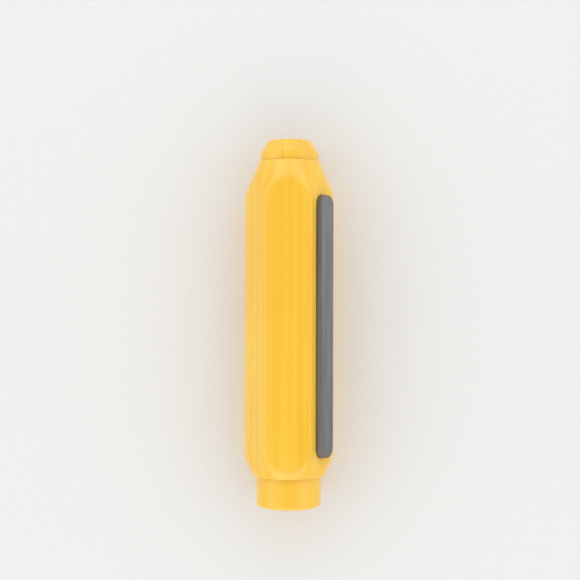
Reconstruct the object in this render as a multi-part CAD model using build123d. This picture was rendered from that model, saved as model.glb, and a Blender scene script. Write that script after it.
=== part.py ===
"""Chalk holder: a hexagonal barrel with a spring-loaded collet for a stick of chalk.

The holder lies on one facet. Its axis runs along Y with the nose towards +Y, the resting facet is at
Z = 0 and the origin is below the middle of its length. Millimetres, +Z up.
"""

from build123d import *
from math import cos, pi, radians, sin, sqrt, tan
import os

# Chalk and collet
CHALK_DIAMETER = 10.0
WELL_CLEARANCE = 0.4
SLEEVE_WALL = 1.1
JAW_COUNT = 4
JAW_SLIT = 0.3
JAW_NOSE_SLIT = 0.1
JAW_TURN = 33.0
JAW_HEAD_RISE = 2.75
JAW_REACH = 6.6
JAW_STRAIGHT = 2.6
JAW_NOSE_ANGLE = 31.0
JAW_SHOULDER = 0.6
JAW_TIP_EDGE = 0.9
JAW_LEAD_IN = 0.5
JAW_RELIEF = 0.3
FINGER_REACH = 30.0
GRIP_RIBS = 4
GRIP_RIB_WIDTH = 2.0
GRIP_GROOVE_WIDTH = 1.2
KNUCKLE_RADIUS = 2.0
KNUCKLE_CLEARANCE = 0.1
KEY_WIDTH = 1.6
KEY_HEIGHT = 0.45
KEY_CLEARANCE = 0.1

# Return spring
SPRING_WIRE = 0.9
SPRING_LENGTH = 36.0
SPRING_TURNS = 9
SPRING_END_GAP = 0.5
SPRING_SLEEVE_CLEARANCE = 0.75
SPRING_BORE_CLEARANCE = 0.35
SPRING_SEAT_CLEARANCE = 0.05

# Push button
BUTTON_WALL = 1.7
BUTTON_STRAIGHT = 9.2
BUTTON_DOME = 1.6
BUTTON_EDGE = 1.2
BUTTON_END_WALL = 2.0
BUTTON_INSERT = 10.0
BUTTON_CLEARANCE = 0.15
PRESS_TRAVEL = 6.0
STOP_CLEARANCE = 0.3
STEM_LENGTH = 8.0
STEM_WALL = 1.8
STEM_STEP = 0.3
STEM_FIT = 0.02

# Barrel
BARREL_LENGTH = 100.0
BARREL_WALL = 1.9
BARREL_CORNER = 1.0
FRONT_CONE_ANGLE = 22.3
FRONT_LIP = 0.25
REAR_CONE_ANGLE = 26.0
REAR_LIP = 0.75
LIP_ROUNDING = 0.5
SHOULDER_ROUNDING = 0.8
MOUTH_CLEARANCE = 0.15
SEAT_ANGLE = 15.0
SEAT_DEPTH = 2.8
GUIDE_LENGTH = 10.0
GUIDE_CLEARANCE = 0.1

# Magnet strip and its tape
STRIP_WIDTH = 7.4
STRIP_PROUD = 1.95
STRIP_CORNER = 3.2
STRIP_EDGE = 0.3
STRIP_END_MARGIN = 0.6
POCKET_DEPTH = 0.8
POCKET_CLEARANCE = 0.15
TAPE_THICKNESS = 0.15
TAPE_INSET = 0.3

# Radii, worked out from the chalk outwards
grip_radius = CHALK_DIAMETER / 2
well_radius = grip_radius + WELL_CLEARANCE
relief_radius = well_radius + JAW_RELIEF
socket_radius = well_radius + STEM_STEP
sleeve_radius = well_radius + SLEEVE_WALL
head_radius = sleeve_radius + JAW_HEAD_RISE
mouth_radius = head_radius + MOUTH_CLEARANCE
front_rim_radius = mouth_radius + FRONT_LIP
chamber_radius = mouth_radius - SEAT_DEPTH * tan(radians(SEAT_ANGLE))
guide_radius = sleeve_radius + GUIDE_CLEARANCE
key_radius = sleeve_radius + KEY_HEIGHT
coil_radius = sleeve_radius + SPRING_SLEEVE_CLEARANCE + SPRING_WIRE / 2
spring_bore_radius = coil_radius + SPRING_WIRE / 2 + SPRING_BORE_CLEARANCE
button_radius = spring_bore_radius + BUTTON_WALL
button_bore_radius = button_radius + BUTTON_CLEARANCE
rear_rim_radius = button_bore_radius + REAR_LIP
apothem = button_bore_radius + BARREL_WALL
corner_radius = apothem / cos(radians(30))
rounded_corner_radius = corner_radius - BARREL_CORNER * (1 / cos(radians(30)) - 1)

# Places along the axis
button_reach = BUTTON_STRAIGHT + BUTTON_DOME
overall_length = button_reach + BARREL_LENGTH + JAW_REACH
rear_rim = button_reach - overall_length / 2
front_rim = rear_rim + BARREL_LENGTH
nose_tip = front_rim + JAW_REACH
button_floor = rear_rim - BUTTON_STRAIGHT + BUTTON_END_WALL
stem_end = button_floor + STEM_LENGTH
guide_rear = button_floor + SPRING_LENGTH + 2 * SPRING_SEAT_CLEARANCE
guide_front = guide_rear + GUIDE_LENGTH
knuckle_place = front_rim - FINGER_REACH
knuckle_height = (sleeve_radius + well_radius * cos(pi / JAW_COUNT)) / 2
front_shoulder = front_rim - (rounded_corner_radius - front_rim_radius) / tan(radians(FRONT_CONE_ANGLE))
rear_shoulder = rear_rim + (rounded_corner_radius - rear_rim_radius) / tan(radians(REAR_CONE_ANGLE))

# The strip lies on the facet that faces up and to the right
strip_normal = Vector(cos(radians(30)), 0, sin(radians(30)))
strip_length = front_shoulder - rear_shoulder - 2 * STRIP_END_MARGIN
strip_middle = (front_shoulder + rear_shoulder) / 2
strip_thickness = STRIP_PROUD + POCKET_DEPTH - TAPE_THICKNESS

# Cutting bodies run past the faces that they cut by this much
OVERRUN = 1.0


def turned(*outline, rounded=()):
    """Solid turned about the Y axis from (radius, place) points.

    rounded holds (corner, radius) pairs for the points whose corners are softened.
    """
    profile = make_face(Polyline(*outline, close=True))
    for corner, radius in rounded:
        profile = soften(profile, corner, radius)
    return revolve(profile, axis=Axis.Y)


def soften(profile, corner, radius):
    """Profile with the corner at one (radius, place) point rounded."""
    vertex = profile.vertices().sort_by_distance((*corner, 0))[0]
    return fillet(vertex, radius)


def cross_section(place):
    """Plane square to the axis, looking towards the nose."""
    return Plane(origin=(0, place, 0), x_dir=(1, 0, 0), z_dir=(0, 1, 0))


def facet_plane(height):
    """Plane over the middle of the strip's facet, at a height above the axis."""
    origin = strip_normal * height + Vector(0, strip_middle, 0)
    return Plane(origin=origin, x_dir=(0, 1, 0), z_dir=strip_normal)


def facet_slab(height, thickness, grow=0.0):
    """Slab with the strip's round-cornered outline, made larger all round by grow."""
    corner = min(STRIP_CORNER, STRIP_WIDTH * 0.45) + grow
    outline = RectangleRounded(strip_length + 2 * grow, STRIP_WIDTH + 2 * grow, corner)
    return extrude(facet_plane(height) * outline, amount=thickness)


def key_bar(rear, front, width, top):
    """Bar on the upper side of the sleeve, from inside its wall out to the radius top."""
    foot = sleeve_radius - SLEEVE_WALL / 2
    bar = Box(width, front - rear, top - foot, align=(Align.CENTER, Align.MIN, Align.MIN))
    return Pos(0, rear, foot) * bar


def barrel():
    """Hexagonal barrel with conical ends, a stepped bore and a pocket for the strip."""
    hexagon = RegularPolygon(corner_radius, 6)
    hexagon = fillet(hexagon.vertices(), BARREL_CORNER)
    prism = extrude(cross_section(rear_rim) * hexagon, amount=BARREL_LENGTH)
    spindle_radius = corner_radius + OVERRUN
    rise = (spindle_radius - rear_rim_radius) / tan(radians(REAR_CONE_ANGLE))
    fall = (spindle_radius - front_rim_radius) / tan(radians(FRONT_CONE_ANGLE))
    rear_corner = (rear_rim_radius, rear_rim)
    front_corner = (front_rim_radius, front_rim)
    spindle = turned(
        (0, rear_rim),
        rear_corner,
        (spindle_radius, rear_rim + rise),
        (spindle_radius, front_rim - fall),
        front_corner,
        (0, front_rim),
        rounded=[
            (rear_corner, min(LIP_ROUNDING, REAR_LIP)),
            (front_corner, min(LIP_ROUNDING, FRONT_LIP)),
        ],
    )
    body = prism & spindle
    shoulders = [edge for edge in body.edges() if is_shoulder(edge)]
    body = fillet(shoulders, min(SHOULDER_ROUNDING, BARREL_CORNER * 0.8))

    stop = rear_rim + BUTTON_INSERT + PRESS_TRAVEL + STOP_CLEARANCE
    mouth_overrun = mouth_radius + OVERRUN * tan(radians(SEAT_ANGLE))
    body -= turned(
        (0, rear_rim - OVERRUN),
        (button_bore_radius, rear_rim - OVERRUN),
        (button_bore_radius, stop),
        (spring_bore_radius, stop),
        (spring_bore_radius, guide_rear),
        (guide_radius, guide_rear),
        (guide_radius, guide_front),
        (chamber_radius, guide_front),
        (chamber_radius, front_rim - SEAT_DEPTH),
        (mouth_overrun, front_rim + OVERRUN),
        (0, front_rim + OVERRUN),
    )
    body -= key_bar(
        guide_rear - OVERRUN,
        guide_front + OVERRUN,
        KEY_WIDTH + 2 * KEY_CLEARANCE,
        key_radius + KEY_CLEARANCE,
    )
    body -= facet_slab(apothem - POCKET_DEPTH, POCKET_DEPTH + OVERRUN, POCKET_CLEARANCE)
    return body


def is_shoulder(edge):
    """Whether an edge of the bare barrel runs where a facet or a corner meets a cone."""
    return edge.geom_type not in (GeomType.LINE, GeomType.CIRCLE)


def collet_sleeve():
    """Chalk tube with a scalloped seat for each jaw and a key that stops it turning."""
    tube = turned(
        (socket_radius, button_floor),
        (sleeve_radius, button_floor),
        (sleeve_radius, knuckle_place),
        (well_radius, knuckle_place),
        (well_radius, stem_end),
        (socket_radius, stem_end),
    )
    scallop = Pos(knuckle_height, knuckle_place, 0) * Cylinder(KNUCKLE_RADIUS, 2 * head_radius)
    for index in range(JAW_COUNT):
        tube -= Rot(0, jaw_angle(index), 0) * scallop
    tube += key_bar(guide_rear - PRESS_TRAVEL, guide_front, KEY_WIDTH, key_radius)
    return tube


def jaw_angle(index):
    """Turn about +Y that brings a jaw modelled on the +X side to its place."""
    return JAW_TURN - 90 + index * 360 / JAW_COUNT


def jaw():
    """One finger of the collet, modelled on the +X side of the axis."""
    root = knuckle_place - KNUCKLE_RADIUS
    nose_length = JAW_REACH - JAW_STRAIGHT
    tip_radius = head_radius - nose_length * tan(radians(JAW_NOSE_ANGLE))
    wedge_length = JAW_HEAD_RISE / tan(radians(SEAT_ANGLE))
    shoulder = (head_radius, front_rim + JAW_STRAIGHT)
    tip = (tip_radius, nose_tip)
    outer = [
        (sleeve_radius, root),
        (sleeve_radius, front_rim - wedge_length),
        (head_radius, front_rim),
        shoulder,
        tip,
    ]
    inner = [(grip_radius + JAW_LEAD_IN, nose_tip)]
    place = nose_tip - JAW_LEAD_IN
    for rib in range(GRIP_RIBS):
        inner.append((grip_radius, place))
        place -= GRIP_RIB_WIDTH
        inner.append((grip_radius, place))
        inner.append((relief_radius, place))
        place -= GRIP_GROOVE_WIDTH
        if rib < GRIP_RIBS - 1:
            inner.append((relief_radius, place))
    inner.append((relief_radius, root))
    ring = turned(*outer, *inner, rounded=[(tip, JAW_TIP_EDGE), (shoulder, JAW_SHOULDER)])

    reach = 2 * head_radius
    sector = slit_side(1, root) & slit_side(-1, root)
    finger = Pos(0, knuckle_place, 0) * Box(
        2 * reach, nose_tip - knuckle_place, 2 * reach, align=(Align.CENTER, Align.MIN, Align.CENTER)
    )
    knuckle = Pos(knuckle_height, knuckle_place, 0) * Cylinder(KNUCKLE_RADIUS - KNUCKLE_CLEARANCE, 2 * reach)
    return ring & sector & (finger + knuckle)


def slit_side(side, root):
    """Block on the jaw's side of one slit, which narrows from the jaw's root to its nose."""
    length = nose_tip - root
    lean = (JAW_SLIT - JAW_NOSE_SLIT) / 2 / length
    inward = Vector(sin(pi / JAW_COUNT), 0, -side * cos(pi / JAW_COUNT))
    start = inward * (JAW_SLIT / 2) + Vector(0, root, 0)
    face = Plane(origin=start, z_dir=inward + Vector(0, lean, 0))
    width = 4 * length
    return face * Box(width, width, width, align=(Align.CENTER, Align.CENTER, Align.MIN))


def push_button():
    """Domed cup that slides in the rear of the barrel, with a stem pressed into the sleeve."""
    wall_end = rear_rim - BUTTON_STRAIGHT
    stem_radius = socket_radius - STEM_FIT
    dome = ThreePointArc(
        (0, wall_end - BUTTON_DOME),
        dome_point(button_radius / 2, wall_end),
        (button_radius, wall_end),
    )
    rest = Polyline(
        (button_radius, wall_end),
        (button_radius, rear_rim + BUTTON_INSERT),
        (spring_bore_radius, rear_rim + BUTTON_INSERT),
        (spring_bore_radius, button_floor),
        (stem_radius, button_floor),
        (stem_radius, stem_end),
        (stem_radius - STEM_WALL, stem_end),
        (stem_radius - STEM_WALL, button_floor),
        (0, button_floor),
        (0, wall_end - BUTTON_DOME),
    )
    profile = soften(make_face([dome, rest]), (button_radius, wall_end), BUTTON_EDGE)
    return revolve(profile, axis=Axis.Y)


def dome_point(radius, wall_end):
    """Point of the button's spherical dome at a distance from the axis."""
    sphere = (button_radius**2 + BUTTON_DOME**2) / (2 * BUTTON_DOME)
    return (radius, wall_end - BUTTON_DOME + sphere - sqrt(sphere**2 - radius**2))


def spring_station(quarter):
    """Point and direction on the spring's centre line after a number of quarter turns."""
    end_pitch = SPRING_WIRE + SPRING_END_GAP
    start = button_floor + SPRING_SEAT_CLEARANCE + SPRING_WIRE / 2
    middle_pitch = (SPRING_LENGTH - SPRING_WIRE - 2 * end_pitch) / (SPRING_TURNS - 2)

    def climb(turns):
        low = min(turns, 1.0)
        high = max(turns - (SPRING_TURNS - 1), 0.0)
        return end_pitch * (low + high) + middle_pitch * (turns - low - high)

    turns = quarter / 4
    angle = 2 * pi * turns
    point = Vector(coil_radius * sin(angle), start + climb(turns), coil_radius * cos(angle))
    before = max(turns - 0.25, 0.0)
    after = min(turns + 0.25, float(SPRING_TURNS))
    slope = (climb(after) - climb(before)) / (after - before)
    round_speed = 2 * pi * coil_radius
    direction = Vector(round_speed * cos(angle), slope, -round_speed * sin(angle))
    return point, direction.normalized()


def biarc(first, second):
    """Two arcs that leave the first station and reach the second along their directions."""
    (start, leaving), (end, arriving) = first, second
    chord = end - start
    both = leaving + arriving
    spread = 2 * (1 - leaving.dot(arriving))
    along = chord.dot(both)
    reach = (sqrt(along**2 + spread * chord.dot(chord)) - along) / spread
    near = start + leaving * reach
    far = end - arriving * reach
    joint = (near + far) / 2
    return [TangentArc(start, joint, tangent=leaving), TangentArc(joint, end, tangent=far - near)]


def return_spring():
    """Compression spring with close end turns, one tube on quarter-turn biarcs."""
    stations = [spring_station(quarter) for quarter in range(4 * SPRING_TURNS + 1)]
    arcs = []
    for first, second in zip(stations, stations[1:]):
        arcs += biarc(first, second)
    report_spring_gap(arcs)
    start, direction = stations[0]
    section = Plane(origin=start, z_dir=direction) * Circle(SPRING_WIRE / 2)
    return sweep(section, path=Wire(arcs))


def report_spring_gap(arcs):
    """Print the least gap between one turn of the spring and another, from points on its line."""
    steps = 6
    points = [arc.position_at(step / steps) for arc in arcs for step in range(steps)]
    half_turn = 4 * steps
    gap = min(
        (points[low] - points[high]).length
        for low in range(len(points))
        for high in range(low + half_turn, len(points))
    )
    print("spring: least gap between turns", round(gap - SPRING_WIRE, 3), "mm")


def magnet_strip():
    """Flexible magnet bar with rounded corners and softened upper edges."""
    strip = facet_slab(apothem - POCKET_DEPTH + TAPE_THICKNESS, strip_thickness)
    upper = strip.faces().sort_by(Axis((0, 0, 0), strip_normal))[-1]
    return fillet(upper.edges(), STRIP_EDGE)


def adhesive_tape():
    """Thin double-sided tape under the strip."""
    return facet_slab(apothem - POCKET_DEPTH, TAPE_THICKNESS, -TAPE_INSET)


JAW_NAMES = ["jaw_upper_right", "jaw_lower_right", "jaw_lower_left", "jaw_upper_left"]


def assemble():
    """All pieces by name, round an axis at height zero."""
    pieces = {
        "barrel": barrel(),
        "collet_sleeve": collet_sleeve(),
        "push_button": push_button(),
        "return_spring": return_spring(),
        "magnet_strip": magnet_strip(),
        "adhesive_tape": adhesive_tape(),
    }
    finger = jaw()
    for index, name in enumerate(JAW_NAMES):
        pieces[name] = Rot(0, jaw_angle(index), 0) * finger
    return pieces


os.makedirs("parts", exist_ok=True)
for name, piece in assemble().items():
    export_step(Pos(0, 0, apothem) * piece, f"parts/{name}.step")
print("across flats", round(2 * apothem, 3), "overall length", round(overall_length, 3))
print("knuckle place", round(knuckle_place, 3), "height above axis", round(knuckle_height, 4))
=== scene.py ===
"""Chalk holder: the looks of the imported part, in the CAD frame.

The holder lies on one facet along Y, with its nose towards +Y and its magnet strip facing up and to the
right. Lengths are in metres.
"""

import logging
from dataclasses import dataclass, field
from enum import Enum
from math import cos, pi, radians, sin, sqrt, tan
from typing import Any, Iterable, Mapping, Sequence, Union

import bmesh
import bpy
from mathutils import Matrix, Vector


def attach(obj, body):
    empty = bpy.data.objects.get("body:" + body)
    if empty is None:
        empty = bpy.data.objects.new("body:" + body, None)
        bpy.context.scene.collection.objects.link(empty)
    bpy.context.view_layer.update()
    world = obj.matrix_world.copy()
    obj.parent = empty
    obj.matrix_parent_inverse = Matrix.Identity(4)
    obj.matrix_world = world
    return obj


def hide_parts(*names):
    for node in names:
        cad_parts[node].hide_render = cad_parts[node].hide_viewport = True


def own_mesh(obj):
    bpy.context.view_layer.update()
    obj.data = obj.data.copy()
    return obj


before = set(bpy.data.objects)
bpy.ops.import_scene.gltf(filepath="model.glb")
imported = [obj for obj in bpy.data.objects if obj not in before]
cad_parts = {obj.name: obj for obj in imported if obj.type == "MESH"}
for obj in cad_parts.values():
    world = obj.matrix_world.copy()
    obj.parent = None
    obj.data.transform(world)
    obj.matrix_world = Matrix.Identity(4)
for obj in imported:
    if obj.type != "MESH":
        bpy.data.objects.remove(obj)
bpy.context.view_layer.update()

log = logging.getLogger("chalk_holder")

MM = 0.001
FLAT_DISTANCE = 12.25 * MM
AXIS_HEIGHT = FLAT_DISTANCE
HOLDER_MIDDLE = Vector((0.0, 0.0, AXIS_HEIGHT))
UPWARD = Vector((0.0, 0.0, 1.0))
FACETS = 6
HALF_FACET = pi / FACETS
LEAST_RADIUS = 0.1 * MM
WELD_DISTANCE = 0.001 * MM
CREASE_ANGLE = radians(45)
BEVEL_ANGLE = radians(50)
NOISE_RANGE = (0.3, 0.7)
# The Mix node's colour sockets go by number, because its other sockets have the same names.
MIX_FACTOR, MIX_FIRST, MIX_SECOND, MIX_RESULT = 0, 6, 7, 2

Colour = tuple[float, float, float]
Point = tuple[float, float, float]
Range = tuple[float, float]
Size = Union[int, float, bpy.types.Material]
Operand = Union["Term", float, int, bool, str, Sequence[float], bpy.types.ID]


class Body(Enum):
    """Bodies of the frame that pieces ride on, apart from the jaws."""

    BARREL = "barrel"
    PLUNGER = "plunger"


class JawSide(Enum):
    """The four jaws: their nodes and bodies, which share a name, in order round the axis."""

    UPPER_RIGHT = "jaw_upper_right"
    LOWER_RIGHT = "jaw_lower_right"
    LOWER_LEFT = "jaw_lower_left"
    UPPER_LEFT = "jaw_upper_left"


class Rail(Enum):
    """Path that a turned form's outline is carried along."""

    CIRCLE = "GeometryNodeCurvePrimitiveCircle"
    ARC = "GeometryNodeCurveArc"


class Term:
    """Output of a node that takes part in Python arithmetic."""

    def __init__(self, graph: "Graph", socket: bpy.types.NodeSocket) -> None:
        """Wraps an output socket of one of the graph's nodes."""
        self.graph = graph
        self.socket = socket

    def __add__(self, other: Operand) -> "Term":
        """Sum of two values."""
        return self.graph.math("ADD", self, other)

    def __radd__(self, other: Operand) -> "Term":
        """Sum with a number on the left."""
        return self.graph.math("ADD", other, self)

    def __sub__(self, other: Operand) -> "Term":
        """Difference of two values."""
        return self.graph.math("SUBTRACT", self, other)

    def __rsub__(self, other: Operand) -> "Term":
        """Difference with a number on the left."""
        return self.graph.math("SUBTRACT", other, self)

    def __mul__(self, other: Operand) -> "Term":
        """Product of two values."""
        return self.graph.math("MULTIPLY", self, other)

    def __rmul__(self, other: Operand) -> "Term":
        """Product with a number on the left."""
        return self.graph.math("MULTIPLY", other, self)

    def __truediv__(self, other: Operand) -> "Term":
        """Quotient of two values."""
        return self.graph.math("DIVIDE", self, other)

    def __rtruediv__(self, other: Operand) -> "Term":
        """Quotient with a number on the left."""
        return self.graph.math("DIVIDE", other, self)


class Graph:
    """Node tree of a material, the world or a geometry, written as Python expressions."""

    def __init__(self, tree: bpy.types.NodeTree) -> None:
        """Starts with an empty tree."""
        self.tree = tree
        tree.nodes.clear()

    def node(
        self,
        kind: str,
        settings: Mapping[str, Any] | None = None,
        sockets: Mapping[Union[str, int], Operand] | None = None,
        output: Union[str, int] = 0,
    ) -> Term:
        """Adds a node.

        Args:
            kind: Blender's identifier for the node's type.
            settings: The node's properties, set first; stops holds a ramp's (position, colour) pairs.
            sockets: Values or links of the node's inputs, by name or number.
            output: The output that is handed back, by name or number.

        Returns:
            That output, or for a node without outputs, its first input.
        """
        node = self.tree.nodes.new(kind)
        for key, value in (settings or {}).items():
            if key == "stops":
                set_stops(node.color_ramp, value)
            else:
                setattr(node, key, value)
        for key, value in (sockets or {}).items():
            if isinstance(value, Term):
                self.tree.links.new(value.socket, node.inputs[key])
            else:
                node.inputs[key].default_value = value
        return Term(self, node.outputs[output] if node.outputs else node.inputs[0])

    def math(self, operation: str, *values: Operand) -> Term:
        """Math node on up to three values."""
        return self.node("ShaderNodeMath", {"operation": operation}, dict(enumerate(values)))

    def blend(self, first: Operand, second: Operand, factor: Operand) -> Term:
        """Colour between two colours, by a factor from 0 to 1."""
        sockets = {MIX_FACTOR: factor, MIX_FIRST: first, MIX_SECOND: second}
        return self.node("ShaderNodeMix", {"data_type": "RGBA"}, sockets, MIX_RESULT)

    def ramp(self, value: Term, low: float, high: float) -> Term:
        """Value mapped so that low becomes 0 and high becomes 1, clamped and eased."""
        sockets = {"Value": value, "From Min": low, "From Max": high}
        return self.node("ShaderNodeMapRange", {"interpolation_type": "SMOOTHSTEP"}, sockets)


def set_stops(ramp: bpy.types.ColorRamp, stops: Sequence[tuple[float, Colour]]) -> None:
    """Sets the stops of a colour ramp.

    Args:
        ramp: The ramp.
        stops: Its (position, colour) pairs.
    """
    while len(ramp.elements) < len(stops):
        ramp.elements.new(1.0)
    for element, (position, colour) in zip(ramp.elements, stops):
        element.position = position
        element.color = (*colour, 1.0)


def rgba(colour: Colour, share: float = 1.0) -> tuple[float, ...]:
    """Colour scaled by a share, as the four numbers that a socket takes."""
    return (*(share * value for value in colour), 1.0)


class SurfaceGraph(Graph):
    """Node tree of a surface material with one principled shader."""

    def __init__(self, name: str) -> None:
        """Makes the material with an empty tree.

        Args:
            name: Name of the material.
        """
        self.material = bpy.data.materials.new(name)
        self.material.use_nodes = True
        super().__init__(self.material.node_tree)

    def grain(self, scale: Point, detail: float = 2.0, roughness: float = 0.5) -> Term:
        """Noise in the piece's own coordinates.

        Args:
            scale: Noise cells per metre along X, Y and Z.
            detail: Octaves of finer noise.
            roughness: Share that each octave keeps.

        Returns:
            A value round 0.5.
        """
        place = self.node("ShaderNodeTexCoord", output="Object")
        spread = self.node("ShaderNodeMapping", {"vector_type": "POINT"}, {"Vector": place, "Scale": scale})
        sockets = {"Vector": spread, "Scale": 1.0, "Detail": detail, "Roughness": roughness}
        return self.node("ShaderNodeTexNoise", {"noise_dimensions": "3D"}, sockets, "Fac")

    def patches(self, scale: Point, detail: float = 1.0) -> Term:
        """Noise in the piece's own coordinates, stretched to run from 0 to 1."""
        return self.ramp(self.grain(scale, detail), *NOISE_RANGE)

    def bump(self, height: Term, distance: float, normal: Term | None = None) -> Term:
        """Normal of a surface that rises and falls.

        Args:
            height: Height of the surface, from 0 to 1.
            distance: How far a height of 1 rises.
            normal: Another normal that this one goes on top of.

        Returns:
            The normal.
        """
        sockets = {"Height": height, "Distance": distance, "Strength": 1.0}
        if normal:
            sockets["Normal"] = normal
        return self.node("ShaderNodeBump", sockets=sockets, output="Normal")

    def finish(self, sockets: Mapping[str, Operand]) -> bpy.types.Material:
        """Adds the principled shader and the material's output.

        Args:
            sockets: Values or links of the shader's inputs.

        Returns:
            The finished material.
        """
        shader = self.node("ShaderNodeBsdfPrincipled", sockets=sockets)
        self.node("ShaderNodeOutputMaterial", sockets={"Surface": shader})
        return self.material


@dataclass(frozen=True)
class MouldedPlastic:
    """Coloured plastic as it comes out of a polished mould, with faint flow marks along its length.

    The scales are noise cells per metre along X, Y and Z, as in the other finishes.
    """

    name: str
    colour: Colour
    deep_colour: Colour
    roughness: float = 0.24
    roughness_spread: float = 0.06
    refraction: float = 1.56
    flow_scale: Point = (330.0, 5.0, 330.0)
    cloud_scale: Point = (70.0, 28.0, 70.0)
    cloud_share: float = 0.4
    handling_scale: Point = (240.0, 160.0, 240.0)
    peel_scale: Point = (850.0, 700.0, 850.0)
    peel_depth: float = 0.008 * MM

    def material(self) -> bpy.types.Material:
        """Builds the material.

        Returns:
            The material.
        """
        graph = SurfaceGraph(self.name)
        flow = graph.patches(self.flow_scale)
        cloud = graph.patches(self.cloud_scale)
        tint = (1 - self.cloud_share) * flow + self.cloud_share * cloud
        handling = graph.grain(self.handling_scale)
        peel = graph.grain(self.peel_scale, detail=1.0)
        return graph.finish({
            "Base Color": graph.blend(rgba(self.deep_colour), rgba(self.colour), tint),
            "Roughness": self.roughness + self.roughness_spread * (handling - 0.5),
            "Normal": graph.bump(peel, self.peel_depth),
            "IOR": self.refraction,
        })


@dataclass(frozen=True)
class MagnetRubber:
    """Flexible magnet: ferrite powder in rubber, extruded along its length."""

    name: str
    colour: Colour
    speck_colour: Colour
    polished_roughness: float = 0.34
    dull_roughness: float = 0.48
    refraction: float = 1.6
    line_scale: Point = (900.0, 12.0, 900.0)
    line_share: float = 0.4
    line_depth: float = 0.012 * MM
    mottle_scale: Point = (420.0, 70.0, 420.0)
    mottle_share: float = 0.2
    grit_scale: Point = (6500.0, 6500.0, 6500.0)
    grit_depth: float = 0.02 * MM
    speck_range: Range = (0.62, 0.74)
    speck_share: float = 0.4
    wiped_scale: Point = (180.0, 45.0, 180.0)
    wiped_range: Range = (0.35, 0.72)

    def material(self) -> bpy.types.Material:
        """Builds the material.

        Returns:
            The material.
        """
        graph = SurfaceGraph(self.name)
        lines = graph.patches(self.line_scale, detail=2.0)
        mottle = graph.patches(self.mottle_scale, detail=2.0)
        grit = graph.grain(self.grit_scale)
        specks = graph.ramp(grit, *self.speck_range)
        wiped = graph.ramp(graph.grain(self.wiped_scale, detail=3.0), *self.wiped_range)
        shade = self.speck_share * specks + self.line_share * lines + self.mottle_share * mottle
        return graph.finish({
            "Base Color": graph.blend(rgba(self.colour), rgba(self.speck_colour), shade),
            "Roughness": self.polished_roughness + (self.dull_roughness - self.polished_roughness) * wiped,
            "Normal": graph.bump(grit, self.grit_depth, graph.bump(lines, self.line_depth)),
            "IOR": self.refraction,
        })


@dataclass(frozen=True)
class DrawnWire:
    """Bright spring steel with die lines and a trace of oil."""

    name: str
    colour: Colour
    dull_share: float = 0.72
    roughness: float = 0.3
    roughness_spread: float = 0.12
    film_scale: Point = (900.0, 900.0, 900.0)
    film_range: Range = (0.35, 0.65)

    def material(self) -> bpy.types.Material:
        """Builds the material.

        Returns:
            The material.
        """
        graph = SurfaceGraph(self.name)
        film = graph.grain(self.film_scale, detail=3.0)
        dull = rgba(self.colour, self.dull_share)
        return graph.finish({
            "Base Color": graph.blend(dull, rgba(self.colour), graph.ramp(film, *self.film_range)),
            "Metallic": 1.0,
            "Roughness": self.roughness + self.roughness_spread * film,
        })


@dataclass(frozen=True)
class FoamTape:
    """Thin double-sided tape with an open foam core."""

    name: str
    colour: Colour
    shade_share: float = 0.8
    roughness: float = 0.7
    roughness_spread: float = 0.2
    cell_scale: Point = (4200.0, 4200.0, 4200.0)
    cell_range: Range = (0.35, 0.6)
    cell_depth: float = 0.03 * MM

    def material(self) -> bpy.types.Material:
        """Builds the material.

        Returns:
            The material.
        """
        graph = SurfaceGraph(self.name)
        cells = graph.grain(self.cell_scale)
        shade = rgba(self.colour, self.shade_share)
        return graph.finish({
            "Base Color": graph.blend(shade, rgba(self.colour), graph.ramp(cells, *self.cell_range)),
            "Roughness": self.roughness + self.roughness_spread * cells,
            "Normal": graph.bump(cells, self.cell_depth),
        })


@dataclass(frozen=True)
class StudioPaper:
    """Pale matt paper that the holder lies on."""

    name: str
    colour: Colour
    shade_share: float = 0.985
    roughness: float = 0.9
    fibre_scale: Point = (900.0, 900.0, 900.0)

    def material(self) -> bpy.types.Material:
        """Builds the material.

        Returns:
            The material.
        """
        graph = SurfaceGraph(self.name)
        fibres = graph.grain(self.fibre_scale, detail=3.0)
        shade = rgba(self.colour, self.shade_share)
        return graph.finish({
            "Base Color": graph.blend(shade, rgba(self.colour), fibres),
            "Roughness": self.roughness,
        })


YELLOW = (0.945, 0.597, 0.057)
DEEP_YELLOW = (0.925, 0.5, 0.023)
EVEN_YELLOW = (0.941, 0.575, 0.049)
DEEP_EVEN_YELLOW = (0.93, 0.53, 0.034)
BARREL_PLASTIC = MouldedPlastic("barrel_plastic_look", YELLOW, DEEP_YELLOW)
BUTTON_PLASTIC = MouldedPlastic("button_plastic_look", EVEN_YELLOW, DEEP_EVEN_YELLOW)
COLLET_PLASTIC = MouldedPlastic("collet_plastic_look", YELLOW, DEEP_YELLOW, roughness=0.32)
MAGNET_RUBBER = MagnetRubber("magnet_rubber_look", (0.092, 0.09, 0.09), (0.235, 0.233, 0.237))
SPRING_STEEL = DrawnWire("spring_steel_look", (0.62, 0.62, 0.62))
TAPE_FOAM = FoamTape("tape_foam_look", (0.75, 0.73, 0.68))
STUDIO_PAPER = StudioPaper("studio_paper_look", (0.82, 0.82, 0.81))


@dataclass(frozen=True)
class Corner:
    """Corner of an outline: distance from the axis, place along it, and the radius it is rounded to."""

    radius: float
    place: float
    rounding: float = 0.0


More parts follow.
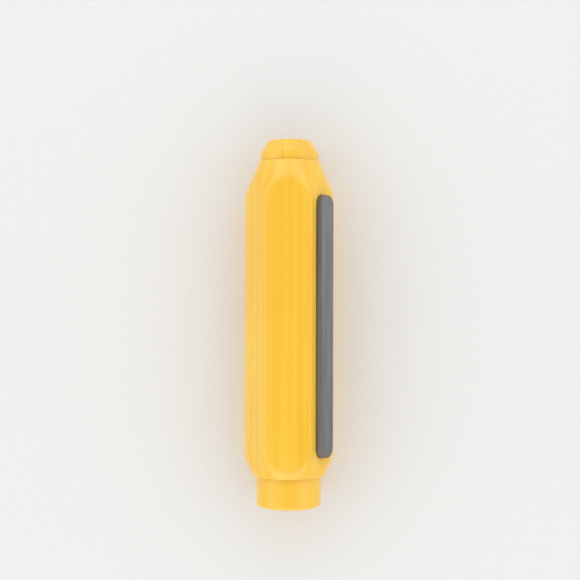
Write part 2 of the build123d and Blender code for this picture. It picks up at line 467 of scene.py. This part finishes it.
@dataclass
class Outline:
    """Half section of a turned piece, as corners in order round it."""

    corners: list[Corner]
    closed: bool = True
    arc_steps: int = 8

    def points(self) -> list[tuple[float, float]]:
        """Works out the outline's points, with the rounded corners as short chords.

        Returns:
            Points as (distance from the axis, place along it).
        """
        count = len(self.corners)
        points: list[tuple[float, float]] = []
        for index, corner in enumerate(self.corners):
            at_end = not self.closed and index in (0, count - 1)
            if at_end or corner.rounding == 0.0:
                points.append((corner.radius, corner.place))
            else:
                points += self._arc(self.corners[index - 1], corner, self.corners[(index + 1) % count])
        return points

    def _arc(self, before: Corner, corner: Corner, after: Corner) -> list[tuple[float, float]]:
        """Points of one rounded corner.

        Args:
            before: The corner before it.
            corner: The corner that is rounded.
            after: The corner after it.

        Returns:
            Points from the arc's start to its end.
        """
        tip = Vector((corner.radius, corner.place))
        back = (Vector((before.radius, before.place)) - tip).normalized()
        ahead = (Vector((after.radius, after.place)) - tip).normalized()
        half = back.angle(ahead) / 2
        middle = tip + (back + ahead).normalized() * (corner.rounding / sin(half))
        start = tip + back * (corner.rounding / tan(half)) - middle
        end = tip + ahead * (corner.rounding / tan(half)) - middle
        turn = pi - 2 * half
        arc = []
        for step in range(self.arc_steps + 1):
            share = step / self.arc_steps
            spoke = (start * sin((1 - share) * turn) + end * sin(share * turn)) / sin(turn)
            arc.append(tuple(middle + spoke))
        return arc


@dataclass(frozen=True)
class Slit:
    """Width of a slit at a place along the axis."""

    width: float
    place: float


def ramp_corners(first: Corner, last: Corner, steps: int) -> list[Corner]:
    """Corners that divide the straight run between two corners.

    Args:
        first: The corner where the run starts.
        last: The corner where it ends.
        steps: Number of parts that the run is divided into.

    Returns:
        The corners between the two, without the two themselves.
    """
    shares = [step / steps for step in range(1, steps)]
    return [
        Corner(
            first.radius + (last.radius - first.radius) * share,
            first.place + (last.place - first.place) * share,
        )
        for share in shares
    ]


@dataclass
class TurnedForm:
    """Mesh that a Geometry Nodes tree turns from an outline about the holder's axis.

    A form may be cut to a hexagon, whose flats and cones blend softly and whose faces crowd together at its
    corners, or to a sector with slits beside it that change width along the axis.
    """

    outline: Outline
    segments: int = 192
    rail: Rail = Rail.CIRCLE
    span: float = 2 * pi
    middle: float = 0.0
    slit_start: Slit = Slit(0.0, 0.0)
    slit_end: Slit = Slit(0.0, 1.0)
    flat_distance: float = 1.0
    corner_softness: float = 0.0
    corner_crowding: float = 0.0
    shoulder_softness: float = 0.0

    def piece(self, name: str, material: bpy.types.Material) -> bpy.types.Object:
        """Builds the form.

        Args:
            name: Name of the piece.
            material: Material of its surface.

        Returns:
            The piece, with the Geometry Nodes modifier still on it.
        """
        points = [(radius, place, 0.0) for radius, place in self.outline.points()]
        edges = [(index, index + 1) for index in range(len(points) - 1)]
        if self.outline.closed:
            edges.append((len(points) - 1, 0))
        mesh = bpy.data.meshes.new(name)
        mesh.from_pydata(points, edges, [])
        piece = add_object(name, mesh)
        graph = FormGraph("turned_form", {
            "Segments": self.segments,
            "Span": self.span,
            "Middle": self.middle,
            "Start slit": self.slit_start.width,
            "Start of slit": self.slit_start.place,
            "End slit": self.slit_end.width,
            "End of slit": self.slit_end.place,
            "Flat distance": self.flat_distance,
            "Corner softness": self.corner_softness,
            "Corner crowding": self.corner_crowding,
            "Shoulder softness": self.shoulder_softness,
            "Material": material,
        })
        graph.shape(piece, self._turned(graph))
        return piece

    def _turned(self, graph: "FormGraph") -> Term:
        """Adds the nodes that carry the outline along its rail and bend it into the form.

        Args:
            graph: The tree that the nodes go into.

        Returns:
            The finished geometry.
        """
        size = graph.sizes
        section = graph.node("GeometryNodeMeshToCurve", sockets={"Mesh": graph.start})
        section = graph.store(section, "section", "FLOAT_VECTOR", graph.node("GeometryNodeInputPosition"))
        steps = size["Segments"] + (1 if self.rail is Rail.ARC else 0)
        path = graph.node(self.rail.value, {"mode": "RADIUS"}, {"Resolution": steps})
        along = graph.node("GeometryNodeInputIndex") / size["Segments"]
        path = graph.store(path, "along", "FLOAT", along)
        swept = graph.node(
            "GeometryNodeCurveToMesh", sockets={"Curve": path, "Profile Curve": section, "Fill Caps": True}
        )

        at = graph.attribute("section", "FLOAT_VECTOR")
        radius = graph.node("ShaderNodeSeparateXYZ", sockets={"Vector": at}, output="X")
        place = graph.node("ShaderNodeSeparateXYZ", sockets={"Vector": at}, output="Y")
        slit = graph.node("ShaderNodeMapRange", sockets={
            "Value": place,
            "From Min": size["Start of slit"],
            "From Max": size["End of slit"],
            "To Min": size["Start slit"],
            "To Max": size["End slit"],
        })
        half_slit = slit / 2 / graph.math("MAXIMUM", radius, LEAST_RADIUS)
        half_span = size["Span"] / 2 - graph.math("ARCSINE", half_slit)
        angle = size["Middle"] + (2 * graph.attribute("along", "FLOAT") - 1) * half_span
        angle = angle + size["Corner crowding"] / FACETS * graph.math("SINE", FACETS * angle)
        radius = self._hexagonal(graph, radius, angle)
        position = graph.node("ShaderNodeCombineXYZ", sockets={
            "X": radius * graph.math("SINE", angle),
            "Y": place,
            "Z": radius * graph.math("COSINE", angle) + AXIS_HEIGHT,
        })
        shaped = graph.node("GeometryNodeSetPosition", sockets={"Geometry": swept, "Position": position})
        for name in ("section", "along"):
            shaped = graph.node("GeometryNodeRemoveAttribute", sockets={"Geometry": shaped, "Name": name})
        sockets = {"Geometry": shaped, "Distance": WELD_DISTANCE}
        merged = graph.node("GeometryNodeMergeByDistance", sockets=sockets)
        outward = graph.node("GeometryNodeFlipFaces", sockets={"Mesh": merged})
        return graph.smooth(outward)

    def _hexagonal(self, graph: "FormGraph", radius: Term, angle: Term) -> Term:
        """Radius held inside the hexagon, with soft corners and soft shoulders.

        Args:
            graph: The tree that the nodes go into.
            radius: Distance of the outline from the axis.
            angle: Direction round the axis, from +Z.

        Returns:
            The distance from the axis.
        """
        size = graph.sizes
        off_flat = graph.math("ABSOLUTE", graph.math("WRAP", angle, HALF_FACET, -HALF_FACET))
        near_flat = size["Flat distance"] / graph.math("COSINE", off_flat)
        next_flat = size["Flat distance"] / graph.math("COSINE", 2 * HALF_FACET - off_flat)
        hexagon = graph.math("SMOOTH_MIN", near_flat, next_flat, size["Corner softness"])
        return graph.math("SMOOTH_MIN", radius, hexagon, size["Shoulder softness"])


class FormGraph(Graph):
    """Geometry Nodes tree with named inputs for its sizes, put on a piece once it is whole."""

    SOCKETS = {int: "NodeSocketInt", float: "NodeSocketFloat", bpy.types.Material: "NodeSocketMaterial"}

    def __init__(self, name: str, values: Mapping[str, Size]) -> None:
        """Makes the tree and its inputs.

        Args:
            name: Name of the tree.
            values: The sizes that the inputs take, by name; one is the material.
        """
        super().__init__(bpy.data.node_groups.new(name, "GeometryNodeTree"))
        self.values = values
        inputs = {label: self.SOCKETS[type(value)] for label, value in values.items()}
        for label, kind in {"Geometry": "NodeSocketGeometry", **inputs}.items():
            self.tree.interface.new_socket(label, in_out="INPUT", socket_type=kind)
        self.tree.interface.new_socket("Geometry", in_out="OUTPUT", socket_type="NodeSocketGeometry")
        entry = self.tree.nodes.new("NodeGroupInput")
        self.start = Term(self, entry.outputs["Geometry"])
        self.sizes = {label: Term(self, entry.outputs[label]) for label in values}

    def store(self, geometry: Term, name: str, data_type: str, value: Term) -> Term:
        """Geometry with a value stored on its points under a name."""
        sockets = {"Geometry": geometry, "Name": name, "Value": value}
        return self.node("GeometryNodeStoreNamedAttribute", {"data_type": data_type}, sockets)

    def attribute(self, name: str, data_type: str) -> Term:
        """Value that was stored under a name."""
        settings = {"data_type": data_type}
        return self.node("GeometryNodeInputNamedAttribute", settings, {"Name": name}, "Attribute")

    def smooth(self, geometry: Term) -> Term:
        """Geometry whose faces are shaded smoothly."""
        sockets = {"Geometry": geometry, "Shade Smooth": True}
        return self.node("GeometryNodeSetShadeSmooth", sockets=sockets)

    def shape(self, piece: bpy.types.Object, geometry: Term) -> None:
        """Ends the tree in real geometry with its material, and puts it on a piece.

        Args:
            piece: The object that holds the starting geometry.
            geometry: The finished geometry.
        """
        real = self.node("GeometryNodeRealizeInstances", sockets={"Geometry": geometry})
        sockets = {"Geometry": real, "Material": self.sizes["Material"]}
        dressed = self.node("GeometryNodeSetMaterial", sockets=sockets)
        self.node("NodeGroupOutput", sockets={"Geometry": dressed})
        modifier = piece.modifiers.new("form", "NODES")
        modifier.node_group = self.tree
        for item in self.tree.interface.items_tree:
            if item.in_out == "INPUT" and item.name in self.values:
                modifier[item.identifier] = self.values[item.name]


def add_object(name: str, data: bpy.types.ID) -> bpy.types.Object:
    """Adds a mesh, lamp or camera to the scene.

    Args:
        name: Name of the object.
        data: What it shows.

    Returns:
        The object.
    """
    item = bpy.data.objects.new(name, data)
    bpy.context.collection.objects.link(item)
    return item


def bake(piece: bpy.types.Object) -> bpy.types.Object:
    """Turns a piece's modifiers into a plain mesh.

    Args:
        piece: The object with its modifiers.

    Returns:
        The same object, with the result as its mesh and no modifiers.
    """
    piece.update_tag()
    depsgraph = bpy.context.evaluated_depsgraph_get()
    mesh = bpy.data.meshes.new_from_object(piece.evaluated_get(depsgraph), depsgraph=depsgraph)
    piece.modifiers.clear()
    piece.data = mesh
    mesh.name = piece.name
    return piece


def soften_edges(piece: bpy.types.Object, width: float, segments: int) -> None:
    """Adds a bevel on a piece's sharp edges, with normals that keep its large faces flat.

    Args:
        piece: The object.
        width: Width of the bevel.
        segments: Steps across it.
    """
    bevel = piece.modifiers.new("soft_edges", "BEVEL")
    bevel.width = width
    bevel.segments = segments
    bevel.limit_method = "ANGLE"
    bevel.angle_limit = BEVEL_ANGLE
    bevel.use_clamp_overlap = False
    normals = piece.modifiers.new("flat_faces", "WEIGHTED_NORMAL")
    normals.keep_sharp = True


def seat(piece: bpy.types.Object, body: str, node: str) -> None:
    """Puts a finished piece in the frame in place of a CAD node.

    Args:
        piece: The finished piece.
        body: The body that it rides on.
        node: The CAD node that it stands for.
    """
    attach(piece, body)
    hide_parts(node)
    log.info("%s: %d faces, rides on %s", piece.name, len(piece.data.polygons), body)


@dataclass
class MagnetStrip:
    """Bar of flexible magnet on its tape, in a pocket of the facet that faces up and to the right."""

    facing: float = radians(60)
    length: float = 82.291 * MM
    middle: float = -0.2284 * MM
    width: float = 7.4 * MM
    corner: float = 3.2 * MM
    facet_height: float = FLAT_DISTANCE
    top: float = 14.2 * MM
    base: float = 11.6 * MM
    edge: float = 0.3 * MM
    edge_steps: int = 4
    pocket_depth: float = 0.8 * MM
    pocket_clearance: float = 0.15 * MM
    pocket_overrun: float = 1.0 * MM
    corner_steps: int = 10

    def slab(self, name: str, low: float, high: float, grow: float = 0.0) -> bpy.types.Object:
        """Round-cornered slab over the strip's facet.

        Args:
            name: Name of the object.
            low: Height of its lower face above the axis.
            high: Height of its upper face above the axis.
            grow: How much larger than the strip it is all round.

        Returns:
            The slab.
        """
        outline = self._outline(grow)
        mesh = bpy.data.meshes.new(name)
        shape = bmesh.new()
        rings = [
            [shape.verts.new(self._point(*spot, height)) for spot in outline]
            for height in (low, high)
        ]
        count = len(outline)
        for index in range(count):
            follow = (index + 1) % count
            shape.faces.new((rings[0][index], rings[0][follow], rings[1][follow], rings[1][index]))
        shape.faces.new(rings[0])
        shape.faces.new(rings[1])
        bmesh.ops.recalc_face_normals(shape, faces=shape.faces[:])
        for face in shape.faces:
            face.smooth = True
        shape.to_mesh(mesh)
        shape.free()
        return add_object(name, mesh)

    def _outline(self, grow: float) -> list[tuple[float, float]]:
        """Works out the points round the slab.

        Args:
            grow: How much larger than the strip the slab is all round.

        Returns:
            Points as (place along the holder, place across the facet).
        """
        corner = self.corner + grow
        along = self.length / 2 + grow - corner
        across = self.width / 2 + grow - corner
        points = []
        for quarter, (side, end) in enumerate(((1, 1), (-1, 1), (-1, -1), (1, -1))):
            for step in range(self.corner_steps + 1):
                angle = (quarter + step / self.corner_steps) * pi / 2
                points.append((side * along + corner * cos(angle), end * across + corner * sin(angle)))
        return points

    def _point(self, along: float, across: float, height: float) -> Point:
        """Point over the strip's facet, in the frame."""
        return (
            height * sin(self.facing) - across * cos(self.facing),
            self.middle + along,
            AXIS_HEIGHT + height * cos(self.facing) + across * sin(self.facing),
        )

    def pocket(self) -> bpy.types.Object:
        """Makes the body that cuts the strip's pocket out of the barrel.

        Returns:
            The body.
        """
        low = self.facet_height - self.pocket_depth
        high = self.facet_height + self.pocket_overrun
        return self.slab("pocket_cutter", low, high, self.pocket_clearance)

    def build(self) -> None:
        """Builds the bar, and dresses it and its tape."""
        bar = self.slab("magnet_bar", self.base, self.top)
        bar.data.materials.append(MAGNET_RUBBER.material())
        soften_edges(bar, self.edge, self.edge_steps)
        seat(bake(bar), Body.BARREL.value, "magnet_strip")
        dress_node("adhesive_tape", TAPE_FOAM.material())


@dataclass
class Barrel:
    """Hexagonal barrel with conical ends and a stepped bore."""

    rear_rim: float = -47.9 * MM
    front_rim: float = 52.1 * MM
    rear_rim_radius: float = 11.1 * MM
    front_rim_radius: float = 9.65 * MM
    rear_angle: float = radians(26.0)
    front_angle: float = radians(22.3)
    rear_rounding: float = 0.5 * MM
    front_rounding: float = 0.22 * MM
    spindle_radius: float = 15.6 * MM
    flat_distance: float = FLAT_DISTANCE
    corner_softness: float = 0.93 * MM
    corner_crowding: float = 0.8
    shoulder_softness: float = 1.1 * MM
    cone_step: float = 0.4 * MM
    body_step: float = 4.0 * MM
    segments: int = 360
    mouth_radius: float = 9.4 * MM
    mouth_end: float = 49.3 * MM
    chamber_radius: float = 8.65 * MM
    guide_radius: float = 6.6 * MM
    guide_front: float = -9.0 * MM
    guide_rear: float = -19.0 * MM
    spring_bore_radius: float = 8.5 * MM
    spring_bore_end: float = -31.6 * MM
    button_bore_radius: float = 10.35 * MM
    strip: MagnetStrip = field(default_factory=MagnetStrip)

    def outline(self) -> Outline:
        """Draws the half section, from the rear rim over the outside and back through the bore.

        Returns:
            The half section.
        """
        rear = Corner(self.rear_rim_radius, self.rear_rim, self.rear_rounding)
        front = Corner(self.front_rim_radius, self.front_rim, self.front_rounding)
        rise = (self.spindle_radius - rear.radius) / tan(self.rear_angle)
        fall = (self.spindle_radius - front.radius) / tan(self.front_angle)
        rear_top = Corner(self.spindle_radius, rear.place + rise)
        front_top = Corner(self.spindle_radius, front.place - fall)
        body = front_top.place - rear_top.place
        corners = [
            rear,
            *ramp_corners(rear, rear_top, round(rise / self.cone_step)),
            rear_top,
            *ramp_corners(rear_top, front_top, round(body / self.body_step)),
            front_top,
            *ramp_corners(front_top, front, round(fall / self.cone_step)),
            front,
        ]
        return Outline(corners + self._bore())

    def _bore(self) -> list[Corner]:
        """Corners of the stepped bore, from the mouth to the rear rim."""
        return [
            Corner(self.mouth_radius, self.front_rim),
            Corner(self.chamber_radius, self.mouth_end),
            Corner(self.chamber_radius, self.guide_front),
            Corner(self.guide_radius, self.guide_front),
            Corner(self.guide_radius, self.guide_rear),
            Corner(self.spring_bore_radius, self.guide_rear),
            Corner(self.spring_bore_radius, self.spring_bore_end),
            Corner(self.button_bore_radius, self.spring_bore_end),
            Corner(self.button_bore_radius, self.rear_rim),
        ]

    def build(self) -> None:
        """Builds the barrel with the strip's pocket cut into it."""
        form = TurnedForm(
            self.outline(),
            segments=self.segments,
            flat_distance=self.flat_distance,
            corner_softness=self.corner_softness,
            corner_crowding=self.corner_crowding,
            shoulder_softness=self.shoulder_softness,
        )
        shell = form.piece("barrel_shell", BARREL_PLASTIC.material())
        cutter = self.strip.pocket()
        cut = shell.modifiers.new("pocket", "BOOLEAN")
        cut.operation = "DIFFERENCE"
        cut.solver = "EXACT"
        cut.object = cutter
        bake(shell)
        bpy.data.objects.remove(cutter)
        shell.data.set_sharp_from_angle(angle=CREASE_ANGLE)
        seat(shell, Body.BARREL.value, "barrel")


@dataclass
class PushButton:
    """Domed cup at the rear, with a stem inside that is pressed into the sleeve."""

    radius: float = 10.2 * MM
    wall_end: float = -57.1 * MM
    dome: float = 1.6 * MM
    edge: float = 1.2 * MM
    rim: float = -37.9 * MM
    rim_rounding: float = 0.3 * MM
    inner_radius: float = 8.5 * MM
    floor: float = -55.1 * MM
    stem_radius: float = 5.68 * MM
    stem_wall: float = 1.8 * MM
    stem_end: float = -47.1 * MM
    dome_steps: int = 22
    dome_reach: float = 9.1 * MM
    arc_steps: int = 12
    segments: int = 192

    def outline(self) -> Outline:
        """Draws the half section, from the tip of the dome over the outside and back through the cup.

        Returns:
            The half section.
        """
        sphere = (self.radius**2 + self.dome**2) / (2 * self.dome)
        dome = []
        for step in range(self.dome_steps + 1):
            radius = self.dome_reach * step / self.dome_steps
            drop = sphere - sqrt(sphere**2 - radius**2)
            dome.append(Corner(radius, self.wall_end - self.dome + drop))
        edge = Corner(self.radius, self.wall_end, self.edge)
        rim = Corner(self.radius, self.rim, self.rim_rounding)
        bore_radius = self.stem_radius - self.stem_wall
        corners = [
            *dome,
            edge,
            Corner(self.radius, self.wall_end + 2 * self.edge),
            rim,
            Corner(self.inner_radius, self.rim, self.rim_rounding),
            Corner(self.inner_radius, self.floor),
            Corner(self.stem_radius, self.floor),
            Corner(self.stem_radius, self.stem_end),
            Corner(bore_radius, self.stem_end),
            Corner(bore_radius, self.floor),
            Corner(0.0, self.floor),
        ]
        return Outline(corners, closed=False, arc_steps=self.arc_steps)

    def build(self) -> None:
        """Builds the button."""
        form = TurnedForm(self.outline(), self.segments)
        button = bake(form.piece("button_cap", BUTTON_PLASTIC.material()))
        button.data.set_sharp_from_angle(angle=CREASE_ANGLE)
        seat(button, Body.PLUNGER.value, "push_button")


@dataclass
class Collet:
    """Four jaws round the chalk, on a sleeve inside the barrel."""

    first_turn: float = radians(33)
    root_slit: Slit = Slit(0.3 * MM, 20.1 * MM)
    nose_slit: Slit = Slit(0.03 * MM, 58.7 * MM)
    root: float = 20.75 * MM
    sleeve_radius: float = 6.5 * MM
    wedge_start: float = 41.837 * MM
    head_radius: float = 9.25 * MM
    head_start: float = Barrel.front_rim
    shoulder: float = 54.7 * MM
    shoulder_rounding: float = 0.6 * MM
    tip: float = 58.7 * MM
    nose_angle: float = radians(31)
    tip_rounding: float = 0.9 * MM
    grip_radius: float = 5.0 * MM
    relief_radius: float = 5.7 * MM
    lead_in: float = 0.5 * MM
    ribs: int = 4
    rib_width: float = 2.0 * MM
    groove_width: float = 1.2 * MM
    segments: int = 28
    edge: float = 0.012 * MM
    edge_steps: int = 2

    def outline(self) -> Outline:
        """Draws the half section of a jaw, from its root over the outside and back over the ribs.

        Returns:
            The half section.
        """
        tip_radius = self.head_radius - (self.tip - self.shoulder) * tan(self.nose_angle)
        corners = [
            Corner(self.sleeve_radius, self.root),
            Corner(self.sleeve_radius, self.wedge_start),
            Corner(self.head_radius, self.head_start),
            Corner(self.head_radius, self.shoulder, self.shoulder_rounding),
            Corner(tip_radius, self.tip, self.tip_rounding),
            Corner(self.grip_radius + self.lead_in, self.tip),
        ]
        place = self.tip - self.lead_in
        for rib in range(self.ribs):
            corners.append(Corner(self.grip_radius, place))
            place -= self.rib_width
            corners += [Corner(self.grip_radius, place), Corner(self.relief_radius, place)]
            place -= self.groove_width
            if rib < self.ribs - 1:
                corners.append(Corner(self.relief_radius, place))
        corners.append(Corner(self.relief_radius, self.root))
        return Outline(corners)

    def build(self) -> None:
        """Builds the jaws, and dresses the sleeve that carries them."""
        material = COLLET_PLASTIC.material()
        for index, side in enumerate(JawSide):
            form = TurnedForm(
                self.outline(),
                segments=self.segments,
                rail=Rail.ARC,
                span=2 * pi / len(JawSide),
                middle=self.first_turn + index * 2 * pi / len(JawSide),
                slit_start=self.root_slit,
                slit_end=self.nose_slit,
            )
            jaw = form.piece(side.value + "_finger", material)
            soften_edges(jaw, self.edge, self.edge_steps)
            seat(bake(jaw), side.value, side.value)
        dress_node("collet_sleeve", material)


@dataclass
class ReturnSpring:
    """Compression spring round the sleeve, between the button's floor and the barrel's guide."""

    wire: float = 0.9 * MM
    radius: float = 7.7 * MM
    turns: float = 9.0
    rear: float = -55.05 * MM
    length: float = 36.0 * MM
    end_gap: float = 0.5 * MM
    guide: float = Barrel.guide_rear
    travel: float = 6.0 * MM
    steps_per_turn: int = 48
    wire_sides: int = 14

    def _wound(self, graph: FormGraph) -> Term:
        """Adds the nodes that wind the wire, with closer turns at both ends.

        Args:
            graph: The tree that the nodes go into.

        Returns:
            The finished geometry.
        """
        size = graph.sizes
        line = graph.node("GeometryNodeCurvePrimitiveLine")
        path = graph.node("GeometryNodeResampleCurve", sockets={"Curve": line, "Count": size["Steps"] + 1})
        turns = graph.node("GeometryNodeInputIndex") / size["Steps"] * size["Turns"]
        low = graph.math("MINIMUM", turns, 1.0)
        high = graph.math("MAXIMUM", turns - size["Turns"] + 1, 0.0)
        climb = size["End pitch"] * (low + high) + size["Pitch"] * (turns - low - high)
        angle = turns * (2 * pi)
        position = graph.node("ShaderNodeCombineXYZ", sockets={
            "X": size["Radius"] * graph.math("SINE", angle),
            "Y": size["Start"] + climb,
            "Z": size["Radius"] * graph.math("COSINE", angle) + AXIS_HEIGHT,
        })
        coil = graph.node("GeometryNodeSetPosition", sockets={"Geometry": path, "Position": position})
        section = graph.node(
            "GeometryNodeCurvePrimitiveCircle",
            {"mode": "RADIUS"},
            {"Resolution": size["Wire sides"], "Radius": size["Wire"] / 2},
        )
        wound = graph.node(
            "GeometryNodeCurveToMesh", sockets={"Curve": coil, "Profile Curve": section, "Fill Caps": True}
        )
        return graph.smooth(wound)

    def build(self) -> None:
        """Winds the spring."""
        end_pitch = self.wire + self.end_gap
        coil = add_object("spring_coil", bpy.data.meshes.new("spring_coil"))
        graph = FormGraph("wound_spring", {
            "Turns": self.turns,
            "Steps": round(self.turns * self.steps_per_turn),
            "Radius": self.radius,
            "Wire": self.wire,
            "Wire sides": self.wire_sides,
            "Start": self.rear + self.wire / 2,
            "Pitch": (self.length - self.wire - 2 * end_pitch) / (self.turns - 2),
            "End pitch": end_pitch,
            "Material": SPRING_STEEL.material(),
        })
        graph.shape(coil, self._wound(graph))
        seat(bake(coil), Body.BARREL.value, "return_spring")
        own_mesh(coil)


def dress_node(node: str, material: bpy.types.Material) -> None:
    """Gives a CAD node that stays a finished material.

    Args:
        node: Name of the node.
        material: The material.
    """
    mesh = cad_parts[node].data
    mesh.materials.clear()
    mesh.materials.append(material)
    log.info("%s: CAD node kept, dressed in %s", node, material.name)


@dataclass
class Softbox:
    """Large soft lamp aimed at the holder."""

    name: str
    place: Point
    width: float
    depth: float
    power: float

    def build(self) -> None:
        """Hangs the lamp."""
        light = bpy.data.lights.new(self.name, "AREA")
        light.shape = "RECTANGLE"
        light.size = self.width
        light.size_y = self.depth
        light.energy = self.power
        lamp = add_object(self.name, light)
        lamp.visible_camera = False
        lamp.matrix_world = aimed(Vector(self.place), HOLDER_MIDDLE, UPWARD)


def aimed(place: Vector, target: Vector, up: Vector) -> Matrix:
    """Placing of a lamp or camera that looks at a target.

    Args:
        place: Where it stands.
        target: The point that it looks at.
        up: Direction that is up in its view.

    Returns:
        Its matrix in the world.
    """
    back = (place - target).normalized()
    right = up.cross(back).normalized()
    turned = Matrix((right, back.cross(right), back)).transposed()
    return Matrix.Translation(place) @ turned.to_4x4()


@dataclass
class Studio:
    """Pale floor, soft light and the camera over the holder.

    The tent holds pairs of a height, from 0 at the horizon to 1 overhead, and the light there.
    """

    floor_size: float = 3.0
    frame_pixels: float = 580.0
    focal_pixels: float = 1296.0
    distance: float = 413.0 * MM
    side_view: float = radians(2.0)
    foot: float = 2.33 * MM
    target: tuple[float, float] = (0.25 * MM, 11.23 * MM)
    roll: float = radians(-0.17)
    sensor: float = 36.0
    nearest: float = 10.0 * MM
    tent: tuple[Range, ...] = (
        (0.0, 0.88), (0.2, 0.88), (0.45, 1.55), (0.7, 1.26), (0.9, 0.48), (1.0, 0.34)
    )
    lamps: tuple[Softbox, ...] = (
        Softbox("softbox_nose_end", (0.0, 0.7, 0.38), width=1.0, depth=0.3, power=0.7),
        Softbox("softbox_button_end", (0.0, -0.7, 0.38), width=1.0, depth=0.3, power=0.7),
    )

    def build(self) -> None:
        """Sets the floor, the world, the lamps and the camera."""
        self._lay_floor()
        self._light_world()
        for lamp in self.lamps:
            lamp.build()
        self._place_camera()
        bpy.context.scene.view_settings.view_transform = "Standard"

    def _lay_floor(self) -> None:
        """Lays the paper under the holder."""
        half = self.floor_size / 2
        mesh = bpy.data.meshes.new("floor")
        corners = [(-half, -half, 0.0), (half, -half, 0.0), (half, half, 0.0), (-half, half, 0.0)]
        mesh.from_pydata(corners, [], [(0, 1, 2, 3)])
        mesh.materials.append(STUDIO_PAPER.material())
        floor = add_object("floor", mesh)

    def _light_world(self) -> None:
        """Hangs a light tent: pale at the horizon, brightest partway up and dim straight overhead."""
        world = bpy.data.worlds.new("studio")
        world.use_nodes = True
        bpy.context.scene.world = world
        graph = Graph(world.node_tree)
        direction = graph.node("ShaderNodeTexCoord", output="Generated")
        rise = graph.node("ShaderNodeSeparateXYZ", sockets={"Vector": direction}, output="Z")
        peak = max(light for _, light in self.tent)
        stops = [(height, (light / peak,) * 3) for height, light in self.tent]
        glow = graph.node("ShaderNodeValToRGB", {"stops": stops}, {"Fac": rise})
        tent = graph.node("ShaderNodeBackground", sockets={"Color": glow, "Strength": peak})
        graph.node("ShaderNodeOutputWorld", sockets={"Surface": tent})

    def _place_camera(self) -> None:
        """Stands the camera straight over the holder, a little to its right."""
        camera = bpy.data.cameras.new("camera")
        camera.sensor_width = self.sensor
        camera.lens = self.sensor * self.focal_pixels / self.frame_pixels
        camera.clip_start = self.nearest
        stand = add_object("camera", camera)
        place = Vector((
            self.distance * sin(self.side_view),
            self.foot,
            AXIS_HEIGHT + self.distance * cos(self.side_view),
        ))
        up = Vector((sin(self.roll), cos(self.roll), 0.0))
        stand.matrix_world = aimed(place, Vector((*self.target, AXIS_HEIGHT)), up)
        bpy.context.scene.camera = stand


def main() -> None:
    """Builds the holder and its studio."""
    logging.basicConfig(level=logging.INFO, format="%(name)s: %(message)s")
    for assembly in (Barrel(), Collet(), PushButton(), ReturnSpring(), MagnetStrip(), Studio()):
        assembly.build()


if __name__ == "__main__":
    main()
